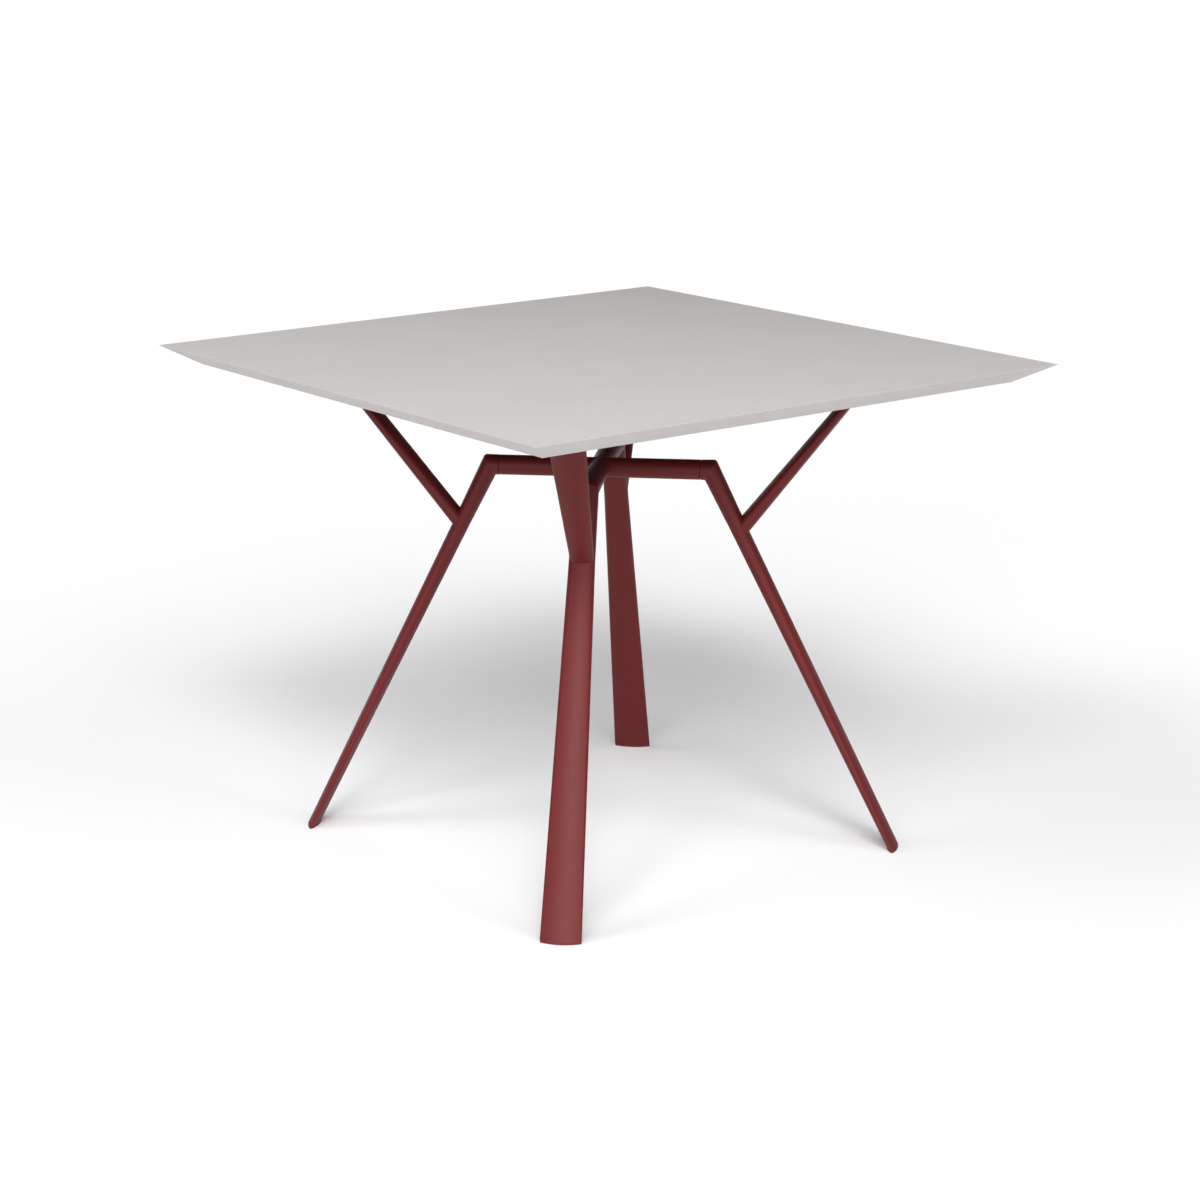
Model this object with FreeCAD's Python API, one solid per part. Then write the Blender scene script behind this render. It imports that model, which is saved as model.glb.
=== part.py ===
# Square dining table: a thin folded sheet top on four twig-like cast legs that meet in a low cross.
# The origin is on the floor under the middle of the top, +Z is up, X and Y run along the top's sides.
# Lengths are in millimetres. A leg is drawn in the XZ plane, reaching out along +X, then turned in place.

import FreeCAD
import Part
import math
import os

from FreeCAD import Vector

# Whole table
TABLE_HEIGHT = 750.0
TOP_SIDE = 945.0

# Folded top sheet
SHEET = 3.0
TOP_DEPTH = 27.8            # upper face to the lower edge of the folded side
BEVEL_INSET = 47.2          # how far the folded side leans in under the top
EDGE_NOSE = 1.0             # upright land along the sharp upper edge
RETURN_LIP = 18.0           # inward fold at the bottom of the folded side

# Hat-section rails that stiffen the sheet along its diagonals
RAIL_WEB = 44.0
RAIL_FLANGE = 14.0
RAIL_WALL = 2.0
RAIL_END_GAP = 78.0         # from the rail's end to the inside corner of the folded sheet

# Cross under the top: four arms that run out along the diagonals
ARM_AXIS_HEIGHT = 580.3
ARM_HEIGHT = 29.7
ARM_WIDTH_HUB = 30.6
ARM_WIDTH_SEAM = 35.6
HUB_RADIUS = 24.0           # the arms keep one width as far as this
STUB_LENGTH = 15.1          # from the seam between arm and leg to the bend in the leg's axis
SEAM_CHAMFER = 0.6          # on the leg's side of the seam
ARM_WALL = 5.7              # casting wall above and below the socket

# Square tenon on the leg, bonded into the arm's socket
TENON_LENGTH = 34.0
TENON_CLEARANCE = 0.15
TENON_END_GAP = 0.8

# Every round member has an oval section of four arcs
OVAL_TURN = 72.0            # degrees from the oval's long axis to the end of its small arcs
END_PIECES = 6              # pieces of each small arc
SIDE_PIECES = 3             # pieces of each large arc
HALFWAY = 0.5               # a long taper is ruled in two stretches

# Leg casting, sizes square to its axis, and the foot's where the axis meets the floor
ELBOW_RADIUS = 165.3        # where the leg's axis meets the arm's axis
ELBOW_HEIGHT = 30.4
ELBOW_THICKNESS = 28.3
ELBOW_WIDTH = 37.2
ELBOW_OUTER_ROUND = 6.5
ELBOW_INNER_ROUND = 2.0
ELBOW_STEPS = 3
FORK_DROP = 90.8            # from the arm's axis down to where the branch's axis leaves the leg's axis
FORK_THICKNESS = 24.4
FORK_WIDTH = 38.0
FOOT_RADIUS = 450.5
FOOT_THICKNESS = 16.2
FOOT_WIDTH = 59.1

# Branch of the leg casting, which carries the top
BRANCH_ROOT_THICKNESS = 23.9
BRANCH_ROOT_WIDTH = 34.1
BRANCH_TIP_RADIUS = 391.5   # where the branch's axis reaches the top's underside
BRANCH_TIP_THICKNESS = 15.8
BRANCH_TIP_WIDTH = 55.2

# Pad cast on the branch's tip and the plate above it
PAD_THICKNESS = 5.0
PAD_WIDTH = 34.0
PAD_END = 11.0              # from a screw to the pad's end
PAD_CORNER = 9.0
SCREW_BESIDE_BRANCH = 9.4   # from the branch's side to a screw
PLATE_THICKNESS = 6.0
PLATE_MARGIN = 8.0          # plate beyond the pad, all round
PLATE_CORNER = 9.0

# Hexagon screw
SCREW_DIAMETER = 6.0
SCREW_HOLE_CLEARANCE = 0.3
THREAD_CLEARANCE = 0.05
HEX_ACROSS_FLATS = 10.0
HEAD_HEIGHT = 4.0
THREAD_RUNOUT = 2.0         # screw beyond the plate

# Foot glide
GLIDE_THICKNESS = 3.0
GLIDE_INSET = 0.6           # how far the glide is set in under the leg
TONGUE_WIDTH = 26.0
TONGUE_THICKNESS = 5.0
TONGUE_LENGTH = 14.0
TONGUE_CLEARANCE = 0.1
TONGUE_END_GAP = 1.0

# Worked out from the sizes above
UP = Vector(0, 0, 1)
DOWN = Vector(0, 0, -1)
OUTWARD = Vector(1, 0, 0)
SIDEWAYS = Vector(0, 1, 0)
CORNERS = {"back_right": 45, "back_left": 135, "front_left": 225, "front_right": 315}
LONG_RAIL_ANGLE = 45
SHORT_RAILS = ("back_left", "front_right")

UNDERSIDE = TABLE_HEIGHT - TOP_DEPTH
SHEET_BACK = TABLE_HEIGHT - SHEET
RAIL_BOTTOM = UNDERSIDE + PLATE_THICKNESS
RAIL_HALF_WIDTH = RAIL_WEB / 2 + RAIL_FLANGE
PAD_BOTTOM = UNDERSIDE - PAD_THICKNESS
SCREW_SPACING = BRANCH_TIP_WIDTH + 2 * SCREW_BESIDE_BRANCH
PAD_LENGTH = SCREW_SPACING + 2 * PAD_END
SCREW_RADIUS = SCREW_DIAMETER / 2
SCREW_HOLE_RADIUS = SCREW_RADIUS + SCREW_HOLE_CLEARANCE
THREAD_RADIUS = SCREW_RADIUS + THREAD_CLEARANCE

SEAM_RADIUS = ELBOW_RADIUS - STUB_LENGTH
FORK_HEIGHT = ARM_AXIS_HEIGHT - FORK_DROP
SOCKET_SIDE = ARM_HEIGHT - 2 * ARM_WALL
TENON_SIDE = SOCKET_SIDE - 2 * TENON_CLEARANCE

LEG_LEAN = (FOOT_RADIUS - ELBOW_RADIUS) / ARM_AXIS_HEIGHT
LEG_SLANT = math.hypot(1, LEG_LEAN)
LEG_DOWN = Vector(LEG_LEAN, 0, -1).normalize()
LEG_OUT = Vector(1, 0, LEG_LEAN).normalize()


def leg_axis(height):
    """Point of the leg's axis at a height."""
    return Vector(FOOT_RADIUS - LEG_LEAN * height, 0, height)


BRANCH_ROOT = leg_axis(FORK_HEIGHT)
BRANCH_TIP = Vector(BRANCH_TIP_RADIUS, 0, UNDERSIDE)
BRANCH_UP = (BRANCH_TIP - BRANCH_ROOT).normalize()
BRANCH_OUT = Vector(BRANCH_UP.z, 0, -BRANCH_UP.x)


# Building blocks

def arcs(centre, along, across, radius, turn, pieces):
    """Arc about a centre in equal pieces, from -turn to +turn radians about its middle direction."""
    step = turn / pieces
    angles = [step * count for count in range(-pieces, pieces + 1)]
    points = [centre + (along * math.cos(angle) + across * math.sin(angle)) * radius for angle in angles]
    return [Part.Arc(*points[start:start + 3]).toShape() for start in range(0, 2 * pieces, 2)]


def oval(centre, out, half_out, half_side):
    """Closed oval about a point: half_out along a direction of the XZ plane, half_side along Y."""
    turn = math.radians(OVAL_TURN)
    rest = math.pi / 2 - turn
    shift = (half_side - half_out) / (math.sin(turn) + math.cos(turn) - 1)
    end_offset = shift * math.cos(turn)
    side_offset = shift * math.sin(turn)
    edges = []
    for sign in (1, -1):
        along = SIDEWAYS * sign
        across = out * sign
        edges += arcs(centre + along * end_offset, along, across, half_side - end_offset, turn, END_PIECES)
        edges += arcs(centre - across * side_offset, across, along * -1, half_out + side_offset, rest, SIDE_PIECES)
    return Part.Wire(edges)


def outline_face(points):
    """Flat face inside a closed outline of points."""
    return Part.Face(Part.makePolygon(points + points[:1]))


def ruled(sections):
    """Solid with straight lines from each section to the next."""
    return Part.makeLoft(sections, True, True)


def prism(points, direction):
    """Solid swept from a closed outline of points along a direction."""
    return outline_face(points).extrude(direction)


def frustum(lower_half, lower, upper_half, upper):
    """Solid about the table's axis between two level squares of given half sides and heights."""
    turns = ((1, 1), (-1, 1), (-1, -1), (1, -1))
    low = [Vector(x * lower_half, y * lower_half, lower) for x, y in turns]
    high = [Vector(x * upper_half, y * upper_half, upper) for x, y in turns]
    sides = [outline_face([low[k - 1], low[k], high[k], high[k - 1]]) for k in range(len(turns))]
    return Part.Solid(Part.Shell([outline_face(low), outline_face(high)] + sides))


def eight_sided(centre, length, width, corner, thickness):
    """Flat plate, long in Y, with its four corners cut off."""
    x = width / 2
    y = length / 2
    right = [(x, corner - y), (x, y - corner), (x - corner, y), (corner - x, y)]
    outline = right + [(-px, -py) for px, py in right]
    return prism([centre + Vector(px, py, 0) for px, py in outline], UP * thickness)


def hexagon(base, height):
    """Upright hexagonal bar on a point."""
    radius = HEX_ACROSS_FLATS / math.sqrt(3)
    turns = [math.radians(60 * step) for step in range(6)]
    return prism([base + Vector(math.cos(turn), math.sin(turn), 0) * radius for turn in turns], UP * height)


def square_bar(side, start, length):
    """Bar of square section from a point on its axis along +X."""
    return Part.makeBox(length, side, side, start - Vector(0, side / 2, side / 2))


def hole(radius, base, direction, length):
    """Round bar for drilling or for a plain shank."""
    return Part.makeCylinder(radius, length, base, direction)


def turned(shape, angle):
    """Copy of a shape turned about the table's axis."""
    copy = shape.copy()
    copy.rotate(Vector(0, 0, 0), UP, angle)
    return copy


def at_each_corner(shapes):
    """Group of separate solids: the given ones at all four corners."""
    return Part.makeCompound([turned(shape, angle) for angle in CORNERS.values() for shape in shapes])


def between(start, end, share):
    """Value part of the way from start to end."""
    return start + (end - start) * share


# Top

def inside_half(height):
    """Half width of the space inside the folded sheet at a height."""
    lean = BEVEL_INSET / (TOP_DEPTH - EDGE_NOSE)
    drop = TABLE_HEIGHT - EDGE_NOSE - height
    return TOP_SIDE / 2 - lean * drop - SHEET * math.hypot(1, lean)


def make_top_sheet():
    """Sheet folded down and in along its four sides, with a lip turned in at the bottom."""
    half = TOP_SIDE / 2
    lower_half = half - BEVEL_INSET
    mouth_half = lower_half - RETURN_LIP
    nose = TABLE_HEIGHT - EDGE_NOSE
    lip_top = UNDERSIDE + SHEET
    body = frustum(lower_half, UNDERSIDE, half, nose).fuse(frustum(half, nose, half, TABLE_HEIGHT))
    hollow = frustum(inside_half(lip_top), lip_top, inside_half(SHEET_BACK), SHEET_BACK)
    mouth = frustum(mouth_half, UNDERSIDE, mouth_half, lip_top)
    return body.cut([hollow, mouth]).removeSplitter()


def rail_reach():
    """Distance from the table's axis to a rail's end."""
    return inside_half(SHEET_BACK) * math.sqrt(2) - RAIL_HALF_WIDTH - RAIL_END_GAP


def make_rail(start):
    """Hat-section rail along X, with sloping ends, from a start to the rails' reach."""
    reach = rail_reach()
    web = RAIL_WEB / 2
    inner = web - RAIL_WALL
    flange_back = SHEET_BACK - RAIL_WALL
    floor_top = RAIL_BOTTOM + RAIL_WALL
    right = [(RAIL_HALF_WIDTH, SHEET_BACK), (RAIL_HALF_WIDTH, flange_back), (web, flange_back), (web, RAIL_BOTTOM)]
    inside = [(-inner, floor_top), (-inner, SHEET_BACK)]
    left = [(-y, z) for y, z in reversed(right)]
    mirrored_inside = [(-y, z) for y, z in reversed(inside)]
    outline = right + left + inside[::-1] + mirrored_inside[::-1]
    bar = prism([Vector(start, y, z) for y, z in outline], OUTWARD * (reach - start))
    slope = SHEET_BACK - RAIL_BOTTOM
    low_start = start + slope if start < 0 else start
    side = [(start, SHEET_BACK), (reach, SHEET_BACK), (reach - slope, RAIL_BOTTOM), (low_start, RAIL_BOTTOM)]
    crop = prism([Vector(x, -RAIL_HALF_WIDTH, z) for x, z in side], SIDEWAYS * (2 * RAIL_HALF_WIDTH))
    return bar.common(crop)


def make_long_rail():
    """Rail from corner to corner of the top."""
    return make_rail(-rail_reach())


def make_short_rail():
    """Rail from the long rail's web to a corner, notched under the long rail's flange."""
    notch = Part.makeBox(2 * RAIL_HALF_WIDTH, 2 * RAIL_HALF_WIDTH, RAIL_WALL,
                         Vector(-RAIL_HALF_WIDTH, -RAIL_HALF_WIDTH, SHEET_BACK - RAIL_WALL))
    return make_rail(RAIL_WEB / 2).cut(notch)


def screw_places():
    """Places of the two screws beside a branch, seen from above."""
    return [Vector(BRANCH_TIP_RADIUS, side * SCREW_SPACING / 2, 0) for side in (-1, 1)]


def drilled(plate, radius, bottom, thickness):
    """Plate with the two screw holes through it."""
    return plate.cut([hole(radius, place + UP * bottom, UP, thickness) for place in screw_places()])


def make_fixing_plate():
    """Plate welded under a rail, tapped for two screws."""
    length = PAD_LENGTH + 2 * PLATE_MARGIN
    width = PAD_WIDTH + 2 * PLATE_MARGIN
    plate = eight_sided(BRANCH_TIP, length, width, PLATE_CORNER, PLATE_THICKNESS)
    return drilled(plate, THREAD_RADIUS, UNDERSIDE, PLATE_THICKNESS)


def make_top_screw(place):
    """Hexagon-head screw driven upwards through the pad into the plate."""
    seat = place + UP * PAD_BOTTOM
    length = PAD_THICKNESS + PLATE_THICKNESS + THREAD_RUNOUT
    head = hexagon(seat + DOWN * HEAD_HEIGHT, HEAD_HEIGHT)
    return head.fuse(hole(SCREW_RADIUS, seat, UP, length))


# Cross and its joint with the legs

def make_hub_cross():
    """Two round bars crossing in the middle, wider towards the ends, with a socket in each end."""
    axis = UP * ARM_AXIS_HEIGHT

    def section(radius, width):
        return oval(axis + OUTWARD * radius, DOWN, ARM_HEIGHT / 2, width / 2)

    bar = ruled([
        section(-SEAM_RADIUS, ARM_WIDTH_SEAM), section(-HUB_RADIUS, ARM_WIDTH_HUB),
        section(HUB_RADIUS, ARM_WIDTH_HUB), section(SEAM_RADIUS, ARM_WIDTH_SEAM)])
    depth = TENON_LENGTH + TENON_END_GAP
    socket = square_bar(SOCKET_SIDE, axis + OUTWARD * (SEAM_RADIUS - depth), depth)
    cross = turned(bar, 45).fuse(turned(bar, 135)).removeSplitter()
    return cross.cut([turned(socket, angle) for angle in CORNERS.values()])


# Leg casting

def arc_point(corner, before, after, radius, share):
    """Point part of the way along the round at a corner between two unit directions."""
    turn = before.getAngle(after)
    reach = radius * math.tan(turn / 2)
    start = corner - before * reach
    swept = turn * share
    toward = (after - before * math.cos(turn)).normalize()
    return start + before * (radius * math.sin(swept)) + toward * (radius * (1 - math.cos(swept)))


def level_crossing(start, end, height):
    """Point at a height on the straight line through two points."""
    return between(start, end, (height - start.z) / (end.z - start.z))


def elbow_sections():
    """Ovals that fan round the bend from the arm's direction to the leg's."""
    top = leg_axis(ARM_AXIS_HEIGHT)
    fork = leg_axis(FORK_HEIGHT)
    outer_line = (top + LEG_OUT * (ELBOW_THICKNESS / 2), fork + LEG_OUT * (FORK_THICKNESS / 2))
    inner_line = (top - LEG_OUT * (ELBOW_THICKNESS / 2), fork - LEG_OUT * (FORK_THICKNESS / 2))
    outer = level_crossing(*outer_line, ARM_AXIS_HEIGHT + ELBOW_HEIGHT / 2)
    inner = level_crossing(*inner_line, ARM_AXIS_HEIGHT - ELBOW_HEIGHT / 2)
    outer_down = (outer_line[1] - outer_line[0]).normalize()
    inner_down = (inner_line[1] - inner_line[0]).normalize()
    sections = []
    for step in range(ELBOW_STEPS + 1):
        share = step / ELBOW_STEPS
        high = arc_point(outer, OUTWARD, outer_down, ELBOW_OUTER_ROUND, share)
        low = arc_point(inner, OUTWARD, inner_down, ELBOW_INNER_ROUND, share)
        span = high - low
        sections.append(oval((high + low) / 2, span / span.Length, span.Length / 2, ELBOW_WIDTH / 2))
    return sections


def leg_section(height, cut_back=0.0):
    """Level oval of the leg at a height below the fork."""
    share = 1 - height / FORK_HEIGHT
    thickness = between(FORK_THICKNESS, FOOT_THICKNESS, share) * LEG_SLANT
    width = between(FORK_WIDTH, FOOT_WIDTH, share)
    return oval(leg_axis(height), OUTWARD, thickness / 2 - cut_back, width / 2 - cut_back)


def make_limb():
    """Stub, elbow and leg down to the glide: round at the elbow, wide and flat at the floor."""
    seam = Vector(SEAM_RADIUS, 0, ARM_AXIS_HEIGHT)
    half_height = ARM_HEIGHT / 2
    half_width = ARM_WIDTH_SEAM / 2
    stub = [
        oval(seam, UP, half_height - SEAM_CHAMFER, half_width - SEAM_CHAMFER),
        oval(seam + OUTWARD * SEAM_CHAMFER, UP, half_height, half_width)]
    heights = [FORK_HEIGHT, between(FORK_HEIGHT, GLIDE_THICKNESS, HALFWAY), GLIDE_THICKNESS]
    return ruled(stub + elbow_sections() + [leg_section(height) for height in heights])


def branch_section(share):
    """Level oval part of the way up the branch."""
    thickness = between(BRANCH_ROOT_THICKNESS, BRANCH_TIP_THICKNESS, share) / BRANCH_UP.z
    width = between(BRANCH_ROOT_WIDTH, BRANCH_TIP_WIDTH, share)
    return oval(between(BRANCH_ROOT, BRANCH_TIP, share), OUTWARD, thickness / 2, width / 2)


def make_branch():
    """Branch from inside the leg up into its pad: round at the fork, wide and flat at the top."""
    root = oval(BRANCH_ROOT, BRANCH_OUT, BRANCH_ROOT_THICKNESS / 2, BRANCH_ROOT_WIDTH / 2)
    return ruled([root, branch_section(HALFWAY), branch_section(1)])


def make_pad():
    """Pad on the branch's tip, drilled for two screws."""
    base = BRANCH_TIP + DOWN * PAD_THICKNESS
    pad = eight_sided(base, PAD_LENGTH, PAD_WIDTH, PAD_CORNER, PAD_THICKNESS)
    return drilled(pad, SCREW_HOLE_RADIUS, PAD_BOTTOM, PAD_THICKNESS)


def make_tongue(below, above, clearance=0.0):
    """Flat bar along the leg's axis, from below the leg's lower end to above it."""
    x = LEG_OUT * (TONGUE_THICKNESS / 2 + clearance)
    y = SIDEWAYS * (TONGUE_WIDTH / 2 + clearance)
    start = leg_axis(GLIDE_THICKNESS) + LEG_DOWN * below
    return prism([start + x + y, start - x + y, start - x - y, start + x - y], LEG_DOWN * -(below + above))


def make_leg():
    """Leg casting: tenon, stub, elbow, leg and branch with its pad, in one piece."""
    root = Vector(SEAM_RADIUS - TENON_LENGTH, 0, ARM_AXIS_HEIGHT)
    tenon = square_bar(TENON_SIDE, root, TENON_LENGTH + SEAM_CHAMFER)
    leg = make_limb().fuse([make_branch(), make_pad(), tenon]).removeSplitter()
    return leg.cut(make_tongue(TONGUE_THICKNESS, TONGUE_LENGTH + TONGUE_END_GAP, TONGUE_CLEARANCE))


def make_foot_glide():
    """Oval pad under the leg's lower end, with a tongue up the leg."""
    pad = Part.Face(leg_section(GLIDE_THICKNESS, GLIDE_INSET)).extrude(DOWN * GLIDE_THICKNESS)
    return pad.fuse(make_tongue(GLIDE_THICKNESS / 2, TONGUE_LENGTH)).removeSplitter()


# Assembly

def build_nodes():
    """All pieces of the table by name, each in its place."""
    nodes = {"top_sheet": make_top_sheet(), "rail_long": turned(make_long_rail(), LONG_RAIL_ANGLE)}
    short_rail = make_short_rail()
    for name in SHORT_RAILS:
        nodes["rail_short_" + name] = turned(short_rail, CORNERS[name])
    repeated = {"fixing_plate": make_fixing_plate(), "leg": make_leg(), "foot_glide": make_foot_glide()}
    for piece, shape in repeated.items():
        for corner, angle in CORNERS.items():
            nodes[piece + "_" + corner] = turned(shape, angle)
    nodes["hub_cross"] = make_hub_cross()
    nodes["top_screws"] = at_each_corner([make_top_screw(place) for place in screw_places()])
    return nodes


os.makedirs("parts", exist_ok=True)
for node_name, node_shape in build_nodes().items():
    if not node_shape.isValid():
        print("not valid:", node_name)
    print(node_name, len(node_shape.Solids), "solids", round(node_shape.Volume / 1000, 2), "cm3")
    node_shape.exportStep("parts/" + node_name + ".step")
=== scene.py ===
"""Square dining table: a thin folded sheet top on four twig-like cast legs that meet in a low cross.

Lengths are in metres in the shared frame: the origin is on the floor under the middle of the top, +Z is up,
and X and Y run along the top's sides. A leg is drawn in the XZ plane, reaching out along +X, then turned
into its place.
"""
import logging
import math
from contextlib import contextmanager
from dataclasses import dataclass, replace
from enum import Enum
from typing import Callable, Iterator, Sequence

import bmesh
import bpy
from bpy.types import Material, Node, NodeOutputs, NodeSocket, NodeTree, Object
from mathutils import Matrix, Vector


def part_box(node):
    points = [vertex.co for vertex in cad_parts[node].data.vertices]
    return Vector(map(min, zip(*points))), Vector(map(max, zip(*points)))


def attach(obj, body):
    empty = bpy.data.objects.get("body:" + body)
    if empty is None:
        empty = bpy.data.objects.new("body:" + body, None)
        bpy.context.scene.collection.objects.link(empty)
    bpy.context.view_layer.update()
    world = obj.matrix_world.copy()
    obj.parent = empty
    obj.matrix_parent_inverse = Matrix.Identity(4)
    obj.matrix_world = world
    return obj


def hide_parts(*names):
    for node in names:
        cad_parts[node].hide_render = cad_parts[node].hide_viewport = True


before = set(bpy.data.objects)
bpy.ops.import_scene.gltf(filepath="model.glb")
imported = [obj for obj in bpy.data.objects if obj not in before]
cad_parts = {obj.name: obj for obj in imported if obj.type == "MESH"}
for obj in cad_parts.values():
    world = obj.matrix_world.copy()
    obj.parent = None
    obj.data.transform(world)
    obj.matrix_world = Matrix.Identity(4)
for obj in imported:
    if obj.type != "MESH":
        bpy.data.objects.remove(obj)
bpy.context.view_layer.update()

logging.basicConfig(level=logging.INFO, format="%(name)s: %(message)s")
log = logging.getLogger("dining_table")

Triple = tuple[float, float, float]

MM = 0.001
BODY = "root"
AXIS = Vector((0, 0, 0))
OUTWARD = Vector((1, 0, 0))
SIDEWAYS = Vector((0, 1, 0))
UP = Vector((0, 0, 1))

MERGE = 0.002 * MM  # points closer than this are one
PARALLEL = 0.999  # least cosine between parallel directions
HOLE_SIDES = 32
FIXING_RADIUS = 391.5 * MM  # from the table's axis to the middle of a pair of screws
SCREW_SIDE = 37.0 * MM  # from that middle to each of the two

FLOAT = "NodeSocketFloat"
VECTOR = "NodeSocketVector"


class Corner(Enum):
    """Corners of the table, each with its direction in degrees from +X."""

    BACK_RIGHT = 45
    BACK_LEFT = 135
    FRONT_LEFT = 225
    FRONT_RIGHT = 315

    @property
    def label(self) -> str:
        """Name of the corner as the CAD nodes spell it."""
        return self.name.lower()

    @property
    def turn(self) -> float:
        """Direction of the corner in radians."""
        return math.radians(self.value)


class Slot(Enum):
    """Finish slots of the record."""

    TOP = "top_coat"
    FRAME = "frame_coat"
    GLIDE = "glide_plastic"
    SCREW = "fastener_steel"


class Cut(Enum):
    """Ways in which one solid works on another."""

    JOIN = "UNION"
    REMOVE = "DIFFERENCE"
    KEEP = "INTERSECT"


class Pick(Enum):
    """Kinds of mesh element that are picked in edit mode."""

    EDGES = "EDGE"
    FACES = "FACE"


# Bench work shared by every piece


def put_down() -> None:
    """Leave edit mode and select nothing."""
    if bpy.context.object and bpy.context.object.mode != "OBJECT":
        bpy.ops.object.mode_set(mode="OBJECT")
    bpy.ops.object.select_all(action="DESELECT")


def take_up(piece: Object) -> None:
    """Make a piece the only selected one, and the active one."""
    put_down()
    piece.select_set(True)
    bpy.context.view_layer.objects.active = piece


@contextmanager
def shaping(piece: Object) -> Iterator[None]:
    """Edit mode on one piece for the length of a with block.

    Args:
        piece: Mesh object to shape.

    Returns:
        A context whose body runs in edit mode.
    """
    take_up(piece)
    bpy.ops.object.mode_set(mode="EDIT")
    yield
    bpy.ops.object.mode_set(mode="OBJECT")


def pick(piece: Object, kind: Pick, test: Callable[[object], bool]) -> None:
    """Select the elements that pass a test, and nothing else, in edit mode.

    Args:
        piece: Mesh object in edit mode.
        kind: Edges or faces.
        test: Says of one mesh element whether it is picked.
    """
    bpy.ops.mesh.select_mode(type=kind.value)
    bpy.ops.mesh.select_all(action="DESELECT")
    mesh = bmesh.from_edit_mesh(piece.data)
    for element in mesh.edges if kind is Pick.EDGES else mesh.faces:
        element.select = test(element)
    mesh.select_flush_mode()
    bmesh.update_edit_mesh(piece.data)


def pick_all() -> None:
    """Select the whole mesh, in edit mode."""
    bpy.ops.mesh.select_all(action="SELECT")


def face_out() -> None:
    """Point every face of the mesh outwards, in edit mode."""
    pick_all()
    bpy.ops.mesh.normals_make_consistent(inside=False)


def pull_edges(by: Sequence[float]) -> None:
    """Extrude the picked edges by lengths along X, Y and Z, in edit mode."""
    bpy.ops.mesh.extrude_edges_move(TRANSFORM_OT_translate={"value": by})


def pull_faces(up: float, scale: float, centre: Vector) -> None:
    """Extrude the picked faces upwards, then scale them level about a point, in edit mode."""
    bpy.ops.mesh.extrude_region_move(TRANSFORM_OT_translate={"value": (0, 0, up)})
    bpy.ops.transform.resize(value=(scale, scale, 1), center_override=centre)


def middle(edge: bmesh.types.BMEdge) -> Vector:
    """Midpoint of an edge."""
    return (edge.verts[0].co + edge.verts[1].co) / 2


def runs_along(edge: bmesh.types.BMEdge, direction: Vector) -> bool:
    """Whether an edge is parallel to a direction."""
    return abs((edge.verts[0].co - edge.verts[1].co).normalized().dot(direction)) > PARALLEL


def rename(piece: Object, name: str) -> Object:
    """Give a piece and its mesh a name, and pass the piece on."""
    piece.name = piece.data.name = name
    return piece


def started(name: str) -> Object:
    """Name the primitive that has just been added, with its place settled in its mesh."""
    bpy.ops.object.transform_apply(location=True, rotation=True, scale=True)
    return rename(bpy.context.object, name)


def new_block(name: str, size: Triple, centre: Vector, turn: float = 0.0) -> Object:
    """Block to shape further.

    Args:
        name: Name of the piece.
        size: Lengths along X, Y and Z.
        centre: Middle of the block.
        turn: Turn about Y in radians.

    Returns:
        The block as a mesh object.
    """
    put_down()
    bpy.ops.mesh.primitive_cube_add(size=1, location=centre, rotation=(0, turn, 0), scale=size)
    return started(name)


def new_rod(name: str, radius: float, low: Vector, length: float, sides: int) -> Object:
    """Upright rod to shape further.

    Args:
        name: Name of the piece.
        radius: Radius of the rod.
        low: Middle of its lower end.
        length: Height of the rod.
        sides: Number of sides.

    Returns:
        The rod as a mesh object.
    """
    put_down()
    bpy.ops.mesh.primitive_cylinder_add(
        vertices=sides, radius=radius, depth=length, location=low + UP * (length / 2))
    return started(name)


def use_up(*pieces: Object) -> None:
    """Take away pieces that have done their work."""
    for piece in pieces:
        bpy.data.objects.remove(piece)


def settle(piece: Object, kind: str, **settings: object) -> None:
    """Add one modifier to a piece and apply it.

    Args:
        piece: Mesh object.
        kind: Type of the modifier.
        settings: Settings of the modifier by name.
    """
    take_up(piece)
    step = piece.modifiers.new("step", kind)
    for setting, value in settings.items():
        setattr(step, setting, value)
    bpy.ops.object.modifier_apply(modifier=step.name)


def work(piece: Object, tool: Object, cut: Cut) -> None:
    """Join, cut or keep a piece with a tool solid, which is used up.

    Args:
        piece: Mesh object that stays.
        tool: Closed mesh object.
        cut: What the tool does to the piece.
    """
    settle(piece, "BOOLEAN", object=tool, operation=cut.value, solver="EXACT")
    use_up(tool)


def round_edges(piece: Object, radius: float, segments: int = 3, angle: float = 30.0) -> None:
    """Round every edge that turns more than an angle, given in degrees."""
    settle(
        piece, "BEVEL", width=radius, segments=segments, limit_method="ANGLE",
        angle_limit=math.radians(angle), harden_normals=False, use_clamp_overlap=True)


def cut_corners(piece: Object, offset: float) -> None:
    """Chamfer the upright edges of a block.

    Args:
        piece: Mesh object.
        offset: How much is cut off each of the two faces at an edge.
    """
    with shaping(piece):
        pick(piece, Pick.EDGES, lambda edge: runs_along(edge, UP))
        bpy.ops.mesh.bevel(offset=offset, segments=1, affect="EDGES")


def drill_pair(piece: Object, radius: float, low: float, length: float) -> None:
    """Drill the holes of one pair of screws, at +X.

    Args:
        piece: Mesh object.
        radius: Radius of the holes.
        low: Height at which the drill starts.
        length: How far up it goes.
    """
    for side in (SCREW_SIDE, -SCREW_SIDE):
        drill = new_rod("drill", radius, Vector((FIXING_RADIUS, side, low)), length, HOLE_SIDES)
        work(piece, drill, Cut.REMOVE)


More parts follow.
